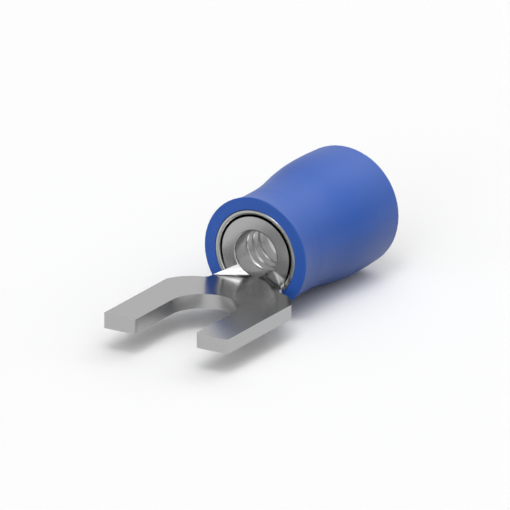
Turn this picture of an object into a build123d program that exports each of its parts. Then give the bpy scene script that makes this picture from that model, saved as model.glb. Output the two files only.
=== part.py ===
from build123d import *
import os
from math import cos, radians, sin

# Insulated fork terminal for a crimped wire, in millimetres.
# The origin is the centre of the stud seat, on the underside of the tongue. The prongs point
# towards -Y, the wire enters from +Y, and +Z is up through the tongue.

# Fork tongue
strip = 0.8                 # thickness of the tinned copper strip
slot_width = 3.75           # passes a 3.5 mm stud
fork_width = 7.7
tip_reach = 3.7             # stud seat centre to the ends of the prongs
tip_corner = 0.2
straight_side = 2.6         # stud seat centre to where the shoulders start
shoulder_length = 1.35      # along the terminal
shoulder_round = 2.2
neck_half_width = 2.12
neck_corner = 0.35

# Neck, from the flat tongue to the tube
neck_flat = 0.47            # still flat behind the shoulders
neck_length = 0.83          # bent up from flat to round
fan_corner = 0.1            # width of the flat's corner that each side fans out from
keel_angle = 2.0            # half of the flat floor's end at the tube, in degrees of arc
wing_angle = 55.0           # how far the neck wraps up each side of the tube, in degrees of arc
wing_width = 0.1            # how far the wings' tops stand out from the tube
cheek_angle = 75.0          # where the tube is round again above the wings, in degrees of arc
heel_length = 0.25          # how far the neck's section runs on into the tube

# Wire barrel
bore = 2.54
barrel_length = 3.3
mouth_round = 0.1           # front edge of the bore
lead_in = 0.16              # chamfer for the wire at the rear of the bore
groove_count = 3
first_groove = 1.15         # barrel's front face to the middle of the first groove
groove_pitch = 0.6
groove_width = 0.22
groove_depth = 0.08
groove_edge = 0.04          # chamfer of each groove's rear edge

# Support sleeve, then insulation sleeve round it
barrel_setback = 0.05       # barrel's front face behind the sleeves' front faces
barrel_fit = 0.01           # radial gap from the barrel to the support sleeve
support_wall = 0.28
support_bell = 0.1          # how far the support sleeve opens out at its front
ring_round = 0.14           # inner front edge of the support sleeve
support_edge = 0.04         # chamfer of the support sleeve's other edges
support_setback = 0.6       # support sleeve's rear edge inside the insulation's rear rim
sleeve_fit = 0.01           # radial gap from the support sleeve to the insulation
insulation_wall = 0.595
rim_bell = 0.18             # how far the insulation's front rim stands out from its waist
bell_length = 1.6
waist_length = 1.0
flare_diameter = 6.73       # over the insulation, at its widest
flare_length = 4.4
rear_length = 2.2           # behind the flare
rear_taper = 0.085          # how far the outside draws in again towards the rear rim
rear_round = 0.5
rim_edge = 0.05             # chamfer of the front's outer edge and of the rear opening

# Stations along the terminal, and radii round the barrel's axis
shoulder_end = straight_side + shoulder_length
neck_front = shoulder_end + neck_flat
barrel_front = neck_front + neck_length
barrel_rear = barrel_front + barrel_length
sleeve_front = barrel_front - barrel_setback
bell_end = sleeve_front + bell_length
flare_start = bell_end + waist_length
flare_end = flare_start + flare_length
sleeve_rear = flare_end + rear_length
support_rear = sleeve_rear - support_setback
bore_r = bore / 2
barrel_r = bore_r + strip
axis_height = barrel_r
support_inner_r = barrel_r + barrel_fit
support_outer_r = support_inner_r + support_wall
insulation_inner_r = support_outer_r + sleeve_fit
insulation_outer_r = insulation_inner_r + insulation_wall
flare_growth = flare_diameter / 2 - insulation_outer_r


def corner(profile, point):
    return profile.vertices().sort_by_distance(point)[0]


def tongue():
    """Flat fork with a round-ended stud slot, round shoulders and the start of the neck."""
    half = fork_width / 2
    side = Polyline((0, -tip_reach), (half, -tip_reach), (half, straight_side))
    shoulder = RadiusArc(side @ 1, (neck_half_width, shoulder_end), -shoulder_round)
    back = Polyline(shoulder @ 1, (neck_half_width, neck_front), (0, neck_front))
    right = make_face(side + shoulder + back + Line(back @ 1, side @ 0))
    right = fillet(corner(right, shoulder @ 1), neck_corner)
    outline = right + mirror(right, about=Plane.YZ)
    slot = Circle(slot_width / 2) + Pos(0, -tip_reach) * Rectangle(slot_width, 2 * tip_reach)
    plate = extrude(outline - slot, strip)
    tips = plate.edges().filter_by(Axis.Z).group_by(Axis.Y)[0]
    return fillet(tips, tip_corner)


def flat_edge(start, end):
    return Line((start[0], neck_front, start[1]), (end[0], neck_front, end[1]))


def on_tube(angle, radius):
    """Point on the barrel's front face, its angle counted from the underside."""
    turn = radians(angle)
    return (radius * sin(turn), barrel_front, axis_height - radius * cos(turn))


def tube_edge(start, end):
    middle = [(a + b) / 2 for a, b in zip(start, end)]
    return ThreePointArc(on_tube(*start), on_tube(*middle), on_tube(*end))


def closed_section(edge, inside, outside):
    """Section of the neck: edges through the inner stations, then back through the outer ones."""
    there = [edge(start, end) for start, end in zip(inside, inside[1:])]
    back = [edge(end, start) for start, end in zip(outside, outside[1:])]
    ends = [Line(there[-1] @ 1, back[-1] @ 0), Line(back[0] @ 1, there[0] @ 0)]
    return Face(Wire(there + [ends[0]] + back[::-1] + [ends[1]]))


def tube_section(inner_r, stand_out, angles):
    """Section of the barrel's lower wall, which stands out at the wings' tops by the given width."""
    inside = [(angle, inner_r) for angle in angles]
    outside = [(angle, barrel_r + stand_out * (abs(angle) == wing_angle)) for angle in angles]
    return closed_section(tube_edge, inside, outside)


def neck():
    """Trough between the flat tongue and the tube.

    Straight lines join each corner of the flat to the tube's arc, so the two sides are cones and
    the floor between them stays flat, narrowing to a point at the tube. The wings' tops are a
    little wider than the tube, and the heel brings them in to it.
    """
    floor = neck_half_width - fan_corner
    across = [-neck_half_width, -floor, floor, neck_half_width]
    around = [-wing_angle, -keel_angle, keel_angle, wing_angle]
    flat = closed_section(flat_edge, [(x, strip) for x in across], [(x, 0) for x in across])
    arch = tube_section(bore_r, wing_width, around)
    trough = loft([flat, arch], ruled=True)
    in_mouth = extrude(tube_section(bore_r, 0, around), mouth_round, dir=(0, 1, 0))
    around = [-cheek_angle] + around + [cheek_angle]
    wide, even = [tube_section(barrel_r - wing_width, width, around) for width in (wing_width, 0)]
    heel = loft([wide, Pos(0, heel_length, 0) * even], ruled=True)
    return trough + in_mouth + heel


def round_axis(profile):
    """Turns a profile, drawn as radius and length, round the barrel's axis."""
    return Pos(0, 0, axis_height) * revolve(profile, Axis.Y)


def barrel():
    """Tube with a round mouth, a lead-in for the wire, and grooves that grip the strands."""
    wall = make_face(Polyline((bore_r, barrel_front), (barrel_r, barrel_front), (barrel_r, barrel_rear),
                              (bore_r, barrel_rear), close=True))
    wall = fillet(corner(wall, (bore_r, barrel_front)), mouth_round)
    wall = chamfer(corner(wall, (bore_r, barrel_rear)), lead_in)
    grooves = [barrel_front + first_groove + index * groove_pitch for index in range(groove_count)]
    for middle in grooves:
        wall -= Pos(bore_r, middle) * Rectangle(2 * groove_depth, groove_width)
    rear_edges = [corner(wall, (bore_r, middle + groove_width / 2)) for middle in grooves]
    return round_axis(chamfer(rear_edges, groove_edge))


def terminal_body():
    return tongue() + neck() + barrel()


def sleeve_line(waist_r, bell, rear_y, draw_in=0):
    """One side of a sleeve's wall: belled front, straight waist, S-shaped flare and rear."""
    flare_r = waist_r + flare_growth
    middle = (waist_r + flare_growth / 2, flare_start + flare_length / 2)
    rear = Line((flare_r, flare_end), (flare_r, rear_y))
    if draw_in:
        rear = TangentArc((flare_r, flare_end), (flare_r - draw_in, rear_y), tangent=(0, 1))
    return [TangentArc((waist_r, bell_end), (waist_r + bell, sleeve_front), tangent=(0, -1)),
            Line((waist_r, bell_end), (waist_r, flare_start)),
            TangentArc((waist_r, flare_start), middle, tangent=(0, 1)),
            TangentArc((flare_r, flare_end), middle, tangent=(0, -1)),
            rear]


def sleeve_wall(inside, outside):
    ends = [Line(inside[0] @ 1, outside[0] @ 1), Line(inside[-1] @ 1, outside[-1] @ 1)]
    return make_face(inside + outside + ends)


def support_sleeve():
    inside = sleeve_line(support_inner_r, support_bell, support_rear)
    outside = sleeve_line(support_outer_r, support_bell, support_rear)
    wall = sleeve_wall(inside, outside)
    wall = fillet(corner(wall, inside[0] @ 1), ring_round)
    edges = [corner(wall, line @ 1) for line in (outside[0], inside[-1], outside[-1])]
    return round_axis(chamfer(edges, support_edge))


def insulation_sleeve():
    inside = sleeve_line(insulation_inner_r, support_bell, sleeve_rear)
    outside = sleeve_line(insulation_outer_r, rim_bell, sleeve_rear, rear_taper)
    wall = sleeve_wall(inside, outside)
    rear_wall = insulation_wall - rear_taper
    wall = fillet(corner(wall, outside[-1] @ 1), min(rear_round, rear_wall - 2 * rim_edge))
    edges = [corner(wall, line @ 1) for line in (outside[0], inside[-1])]
    return round_axis(chamfer(edges, rim_edge))


os.makedirs("parts", exist_ok=True)
for name, solid in {
    "terminal_body": terminal_body(),
    "support_sleeve": support_sleeve(),
    "insulation_sleeve": insulation_sleeve(),
}.items():
    export_step(solid, f"parts/{name}.step")
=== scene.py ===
import math

import bmesh
import bpy
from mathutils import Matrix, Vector


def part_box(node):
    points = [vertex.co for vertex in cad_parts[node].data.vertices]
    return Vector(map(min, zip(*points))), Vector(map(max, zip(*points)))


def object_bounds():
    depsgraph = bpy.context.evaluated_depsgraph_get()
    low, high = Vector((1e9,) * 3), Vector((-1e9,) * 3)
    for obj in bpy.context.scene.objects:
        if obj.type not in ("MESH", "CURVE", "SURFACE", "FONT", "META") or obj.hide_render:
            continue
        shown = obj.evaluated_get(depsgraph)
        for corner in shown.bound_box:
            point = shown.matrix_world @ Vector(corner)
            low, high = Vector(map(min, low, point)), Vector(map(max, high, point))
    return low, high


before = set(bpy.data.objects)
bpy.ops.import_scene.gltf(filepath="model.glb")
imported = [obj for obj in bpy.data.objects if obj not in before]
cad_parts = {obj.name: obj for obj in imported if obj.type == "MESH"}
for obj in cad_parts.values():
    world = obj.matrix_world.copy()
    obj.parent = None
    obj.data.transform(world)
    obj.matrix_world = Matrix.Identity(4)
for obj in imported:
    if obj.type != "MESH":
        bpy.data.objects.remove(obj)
cad_low, cad_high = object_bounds()


# Terminal body: one stamping of copper strip, its flat fork sheared out and its rear rolled into
# a barrel for the wire. It is electroplated with bright tin, which mirrors the sleeve, the barrel
# and the floor softly. Inside the barrel the tin's colour is painted lighter, as painted light.

MM = 0.001
barrel_radius = 2.07 * MM
barrel_length = 3.3 * MM
# The barrel's mouth lies a little behind the support sleeve's front edge.
mouth_setback = 0.05 * MM
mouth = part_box("support_sleeve")[0].y + mouth_setback


def linear(hex_colour):
    """Turns an sRGB hex colour into the linear one that a shader takes."""
    channels = [int(hex_colour[i:i + 2], 16) / 255 for i in (1, 3, 5)]
    return [c / 12.92 if c <= 0.04045 else ((c + 0.055) / 1.055) ** 2.4 for c in channels] + [1.0]


def add_node(tree, kind, inputs, **settings):
    """Adds a node with its settings, and gives each input a value or a link."""
    node = tree.nodes.new("ShaderNode" + kind)
    for name, value in settings.items():
        setattr(node, name, value)
    for name, value in inputs.items():
        if isinstance(value, bpy.types.NodeSocket):
            tree.links.new(value, node.inputs[name])
        else:
            node.inputs[name].default_value = value
    return node


def new_material(name):
    """Starts a material, and returns it with its empty node tree."""
    material = bpy.data.materials.new(name)
    material.use_nodes = True
    material.node_tree.nodes.clear()
    return material, material.node_tree


def dress(node, material):
    """Gives a CAD piece its finish."""
    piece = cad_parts[node]
    piece.data.materials.clear()
    piece.data.materials.append(material)


def tin_plate(name, colour, roughness):
    """Tin over copper strip: a soft mirror, a little cloudy, with faint lines from the rolling.

    Behind the barrel's mouth the plating is smoother, and its colour is painted lighter there as
    painted light in the bore. In the narrow gap round the barrel the colour is painted near black as
    painted shade.
    """
    # Painted light: the tin inside the barrel is painted lighter, standing for light in the bore.
    painted_light_inner_colour = "#C0C0C0"
    inner_roughness = 0.2
    inner_start = mouth + 0.05 * MM
    inner_full = mouth + 0.15 * MM
    # Painted shade: the tin in the narrow gap round the barrel is painted near black, where shade
    # falls.
    painted_shade_colour = "#1C1C1C"
    painted_shade_start = mouth - 0.02 * MM
    painted_shade_full = mouth + 0.03 * MM
    wall_start = barrel_radius - 0.03 * MM
    wall_full = barrel_radius - 0.01 * MM
    cloud_size = 2.5 * MM
    cloudiness = 0.08
    noise_low = 0.3
    noise_high = 0.7
    # Real rolling lines are closer together. These are as coarse as they need to be to show.
    line_spacing = 0.05 * MM
    line_length = 2.5 * MM
    line_depth = 0.01 * MM
    line_strength = 0.06

    material, tree = new_material(name)
    place = add_node(tree, "TexCoord", {})
    clouds = add_node(tree, "TexNoise", {"Vector": place.outputs["Object"],
                                         "Scale": 1 / cloud_size, "Detail": 3.0})
    cloudy = add_node(tree, "MapRange", {"Value": clouds.outputs["Fac"],
                                         "From Min": noise_low, "From Max": noise_high,
                                         "To Min": roughness * (1 - cloudiness),
                                         "To Max": roughness * (1 + cloudiness)})
    parts = add_node(tree, "SeparateXYZ", {"Vector": place.outputs["Object"]})
    inner = add_node(tree, "MapRange", {"Value": parts.outputs["Y"],
                                        "From Min": inner_start, "From Max": inner_full})
    # Mixes in the painted light inside the barrel.
    tone = add_node(tree, "Mix", {"Factor": inner.outputs["Result"], "A": linear(colour),
                                  "B": linear(painted_light_inner_colour)}, data_type="RGBA")

    # Mask for the painted shade: the gap round the barrel, behind its mouth.
    from_axis = add_node(tree, "Mapping", {"Vector": place.outputs["Object"],
                                           "Location": (0, 0, -barrel_radius), "Scale": (1, 0, 1)})
    radius = add_node(tree, "VectorMath", {0: from_axis.outputs["Vector"]}, operation="LENGTH")
    outside = add_node(tree, "MapRange", {"Value": radius.outputs["Value"],
                                          "From Min": wall_start, "From Max": wall_full})
    behind = add_node(tree, "MapRange", {"Value": parts.outputs["Y"],
                                         "From Min": painted_shade_start, "From Max": painted_shade_full})
    before = add_node(tree, "Math", {0: parts.outputs["Y"], 1: mouth + barrel_length},
                      operation="LESS_THAN")
    along_gap = add_node(tree, "Math", {0: behind.outputs["Result"], 1: before.outputs[0]},
                         operation="MULTIPLY")
    in_gap = add_node(tree, "Math", {0: along_gap.outputs[0], 1: outside.outputs["Result"]},
                      operation="MULTIPLY")
    # Mixes in the painted shade of the gap.
    with_painted_shade = add_node(tree, "Mix", {"Factor": in_gap.outputs[0], "A": tone.outputs["Result"],
                                    "B": linear(painted_shade_colour)}, data_type="RGBA")

    smoother = add_node(tree, "MapRange", {"Value": inner.outputs["Result"], "To Min": 1.0,
                                           "To Max": inner_roughness / roughness})
    gloss = add_node(tree, "Math", {0: cloudy.outputs["Result"], 1: smoother.outputs["Result"]},
                     operation="MULTIPLY")
    along = add_node(tree, "Mapping", {"Vector": place.outputs["Object"],
                                       "Scale": (1 / line_spacing, 1 / line_length, 1 / line_spacing)})
    lines = add_node(tree, "TexNoise", {"Vector": along.outputs["Vector"], "Scale": 1.0, "Detail": 2.0})
    rolled = add_node(tree, "Bump", {"Height": lines.outputs["Fac"], "Strength": line_strength,
                                     "Distance": line_depth})
    metal = add_node(tree, "BsdfPrincipled", {"Base Color": with_painted_shade.outputs["Result"], "Metallic": 1.0,
                                              "Roughness": gloss.outputs[0],
                                              "Normal": rolled.outputs["Normal"]})
    add_node(tree, "OutputMaterial", {"Surface": metal.outputs[0]})
    return material


dress("terminal_body", tin_plate("bright_tin_plate", colour="#B0B0B0", roughness=0.21))


# Support sleeve: a thin copper tube pressed over the barrel, its front edge belled to guide it on
# and its rear opened out round the wire's insulation. Its tin plating is a little duller.

dress("support_sleeve", tin_plate("dull_tin_plate", colour="#B0B1AF", roughness=0.25))


# Insulation sleeve: one injection moulding in blue nylon, thick at the front rim, drawn in a little
# at the waist and flared at the rear. The mould is polished, so the nylon is smooth and semi-matt.

def moulded_nylon(name, dark_colour, light_colour, roughness):
    """Nylon straight from the mould: soft gloss, and flow marks that shift its blue a very little."""
    ior = 1.53
    flow_size = 1.4 * MM
    unevenness = 0.05
    noise_low = 0.3
    noise_high = 0.7
    # A polished mould leaves a finer grain. This one is as coarse as it needs to be to show.
    grain_size = 0.06 * MM
    grain_depth = 0.01 * MM
    grain_strength = 0.05

    material, tree = new_material(name)
    place = add_node(tree, "TexCoord", {})
    flow = add_node(tree, "TexNoise", {"Vector": place.outputs["Object"],
                                       "Scale": 1 / flow_size, "Detail": 2.0})
    uneven = add_node(tree, "MapRange", {"Value": flow.outputs["Fac"],
                                         "From Min": noise_low, "From Max": noise_high,
                                         "To Min": roughness * (1 - unevenness),
                                         "To Max": roughness * (1 + unevenness)})
    shift = add_node(tree, "MapRange", {"Value": flow.outputs["Fac"],
                                        "From Min": noise_low, "From Max": noise_high})
    blue = add_node(tree, "Mix", {"Factor": shift.outputs["Result"], "A": linear(dark_colour),
                                  "B": linear(light_colour)}, data_type="RGBA")
    grain = add_node(tree, "TexNoise", {"Vector": place.outputs["Object"],
                                        "Scale": 1 / grain_size, "Detail": 1.0})
    skin = add_node(tree, "Bump", {"Height": grain.outputs["Fac"], "Strength": grain_strength,
                                   "Distance": grain_depth})
    nylon = add_node(tree, "BsdfPrincipled", {"Base Color": blue.outputs["Result"], "IOR": ior,
                                              "Roughness": uneven.outputs["Result"],
                                              "Normal": skin.outputs["Normal"]})
    add_node(tree, "OutputMaterial", {"Surface": nylon.outputs[0]})
    return material


dress("insulation_sleeve", moulded_nylon("moulded_blue_nylon", dark_colour="#245AB7",
                                         light_colour="#265CBB", roughness=0.42))


# Floor: a plain white sheet that the sleeve's flare and rim rest on. The fork hovers over it. It is
# white to the eye and in the tin, and a mid grey for the light that it throws back at the object.

floor_size = 0.6
thrown_back = "#7A7A7A"
seen_white = "#FCFCFC"


def seen_rays(tree):
    """1 for a ray that the camera, a metal or a clear surface sends out, and 0 for spread light."""
    ray = add_node(tree, "LightPath", {})
    mirrored = add_node(tree, "Math", {0: ray.outputs["Is Glossy Ray"],
                                       1: ray.outputs["Is Transmission Ray"]}, operation="MAXIMUM")
    seen = add_node(tree, "Math", {0: ray.outputs["Is Camera Ray"], 1: mirrored.outputs[0]},
                    operation="MAXIMUM")
    return seen.outputs[0]


bm = bmesh.new()
bmesh.ops.create_grid(bm, x_segments=1, y_segments=1, size=floor_size / 2)
bmesh.ops.translate(bm, verts=bm.verts, vec=(0, 0, cad_low.z))
floor_mesh = bpy.data.meshes.new("floor")
bm.to_mesh(floor_mesh)
bm.free()
floor = bpy.data.objects.new("floor", floor_mesh)
bpy.context.scene.collection.objects.link(floor)
white_sheet, tree = new_material("white_sheet")
tone = add_node(tree, "Mix", {"Factor": seen_rays(tree), "A": linear(thrown_back),
                              "B": linear(seen_white)}, data_type="RGBA")
sheet = add_node(tree, "BsdfDiffuse", {"Color": tone.outputs["Result"]})
add_node(tree, "OutputMaterial", {"Surface": sheet.outputs[0]})
floor.data.materials.append(white_sheet)


# Studio light: a dim room with round soft boxes far away. Most of the left side stays dark, for the
# tin's dark streaks. Below the floor the room is as white as the lit floor, to the eye and in the
# tin, so no edge of the floor shows from low down.

room_light = 0.03
floor_tone = 0.98

# Each soft box: degrees round from the front to the right, degrees up, the angle within which it is
# at full strength, the angle at which it has faded out, and its strength.
soft_boxes = [
    (20, 30, 20, 60, 0.78),   # broad, in front
    (190, 30, 20, 60, 0.86),  # broad, at the back
    (110, 35, 30, 90, 0.22),  # very broad, on the right
    (45, 74, 14, 30, 1.4),    # overhead
    (18, 38, 4, 11, 2.5),     # three small bright ones in front, for the tin's highlights
    (20, 64, 5, 12, 4.6),
    (14, 17, 7, 15, 3.0),
    (170, 48, 8, 24, 0.75),   # weak ones that the tin mirrors: at the back, on the right and left
    (130, 26, 9, 24, 0.48),
    (327, 27, 6, 22, 0.35),
    (280, 8, 6, 18, 0.3),
]


def towards(azimuth, elevation):
    """Direction that is so many degrees round from the front to the right, and up from level."""
    around, up = math.radians(azimuth), math.radians(elevation)
    return Vector((math.sin(around) * math.cos(up), -math.cos(around) * math.cos(up), math.sin(up)))


world = bpy.data.worlds.new("studio")
bpy.context.scene.world = world
world.use_nodes = True
room = world.node_tree
room.nodes.clear()
way = add_node(room, "TexCoord", {})
total = room_light
for azimuth, elevation, core, edge, strength in soft_boxes:
    facing = add_node(room, "VectorMath", {0: way.outputs["Generated"], 1: towards(azimuth, elevation)},
                      operation="DOT_PRODUCT")
    soft_box = add_node(room, "MapRange", {"Value": facing.outputs["Value"],
                                           "From Min": math.cos(math.radians(edge)),
                                           "From Max": math.cos(math.radians(core)),
                                           "To Max": strength})
    added = add_node(room, "Math", {0: total, 1: soft_box.outputs["Result"]}, operation="ADD")
    total = added.outputs[0]
height = add_node(room, "SeparateXYZ", {"Vector": way.outputs["Generated"]})
below = add_node(room, "Math", {0: height.outputs["Z"], 1: 0.0}, operation="LESS_THAN")
seen_below = add_node(room, "Math", {0: below.outputs[0], 1: seen_rays(room)}, operation="MULTIPLY")
light = add_node(room, "Mix", {"Factor": seen_below.outputs[0], "A": total, "B": floor_tone})
backdrop = add_node(room, "Background", {"Color": (1, 1, 1, 1), "Strength": light.outputs["Result"]})
add_node(room, "OutputWorld", {"Surface": backdrop.outputs[0]})


# Camera: looks at the middle of the sleeve's front rim, from 32 degrees round to the right of the
# open end and 20 degrees up, with parallel rays, because nothing in the photo narrows with distance.

camera_azimuth = 31.98
camera_elevation = 19.98
camera_distance = 100 * MM
frame_width = 26.716 * MM
rim_height = 2.05 * MM

aim = Vector((0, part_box("insulation_sleeve")[0].y, rim_height))
back = towards(camera_azimuth, camera_elevation)
camera_data = bpy.data.cameras.new("camera")
camera_data.type = "ORTHO"
camera_data.ortho_scale = frame_width
camera_data.clip_start = 1 * MM
camera_data.clip_end = 2000 * MM
camera = bpy.data.objects.new("camera", camera_data)
bpy.context.scene.collection.objects.link(camera)
camera.location = aim + back * camera_distance
camera.rotation_euler = back.to_track_quat("Z", "Y").to_euler()
bpy.context.scene.camera = camera
bpy.context.scene.view_settings.view_transform = "Standard"
